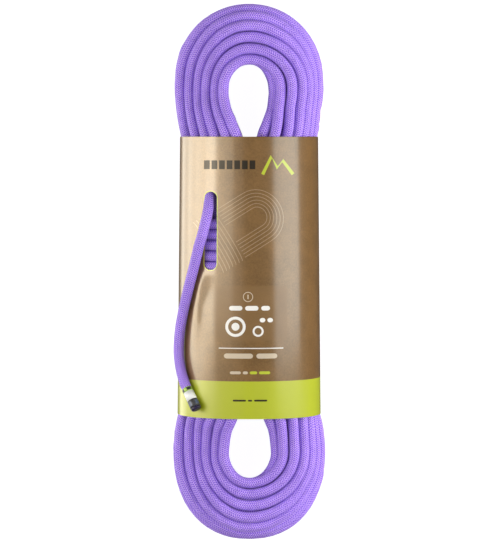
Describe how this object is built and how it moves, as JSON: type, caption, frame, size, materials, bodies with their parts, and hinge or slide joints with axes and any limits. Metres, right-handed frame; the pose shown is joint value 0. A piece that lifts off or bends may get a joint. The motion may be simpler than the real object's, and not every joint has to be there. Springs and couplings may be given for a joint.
{
  "type": "dynamic climbing rope",
  "caption": "Purple dynamic climbing rope wound in a long oval hank, with wraps round its waist, a free end with a printed marker, and a printed card sleeve with a viewing slot.",
  "frame": {"origin": "bottom centre of the whole object, which lies on its back on the card's flat back", "axes": "+Y along the hank towards the upper bight, +X across it, +Z out of the printed front"},
  "size_m": [0.141, 0.4962, 0.1206],
  "materials": {
    "rope": "woven sheath, satin",
    "core": "twisted filament, satin",
    "tape": "matte film",
    "label": "printed",
    "shrink": "clear gloss",
    "seal": "melted",
    "card": "printed, varnished gloss",
    "glue": "cured glue"
  },
  "bodies": {
    "rope": {"hank_body": "rope", "waist_wraps": "rope", "tail_lead": "rope", "tail_sheath": "rope", "core_identification_tape": "tape", "tail_end_label": "label", "tail_end_shrink_tube": "shrink", "tail_end_seal": "seal", "inner_end_rope": "rope", "inner_end_label": "label", "inner_end_shrink_tube": "shrink", "inner_end_seal": "seal", "core_strand_01": "core", "core_strand_02": "core", "core_strand_03": "core", "core_strand_04": "core", "core_strand_05": "core", "core_strand_06": "core", "core_strand_07": "core", "core_strand_08": "core", "core_strand_09": "core", "core_strand_10": "core", "core_strand_11": "core"},
    "sleeve": {"card_sleeve": "card", "sleeve_glue_strip": "glue"}
  },
  "joints": [
    {"name": "sleeve_slide", "type": "slide", "parent": "rope", "child": "sleeve", "axis": [0, 1, 0], "range_m": [0, 0.005]}
  ]
}
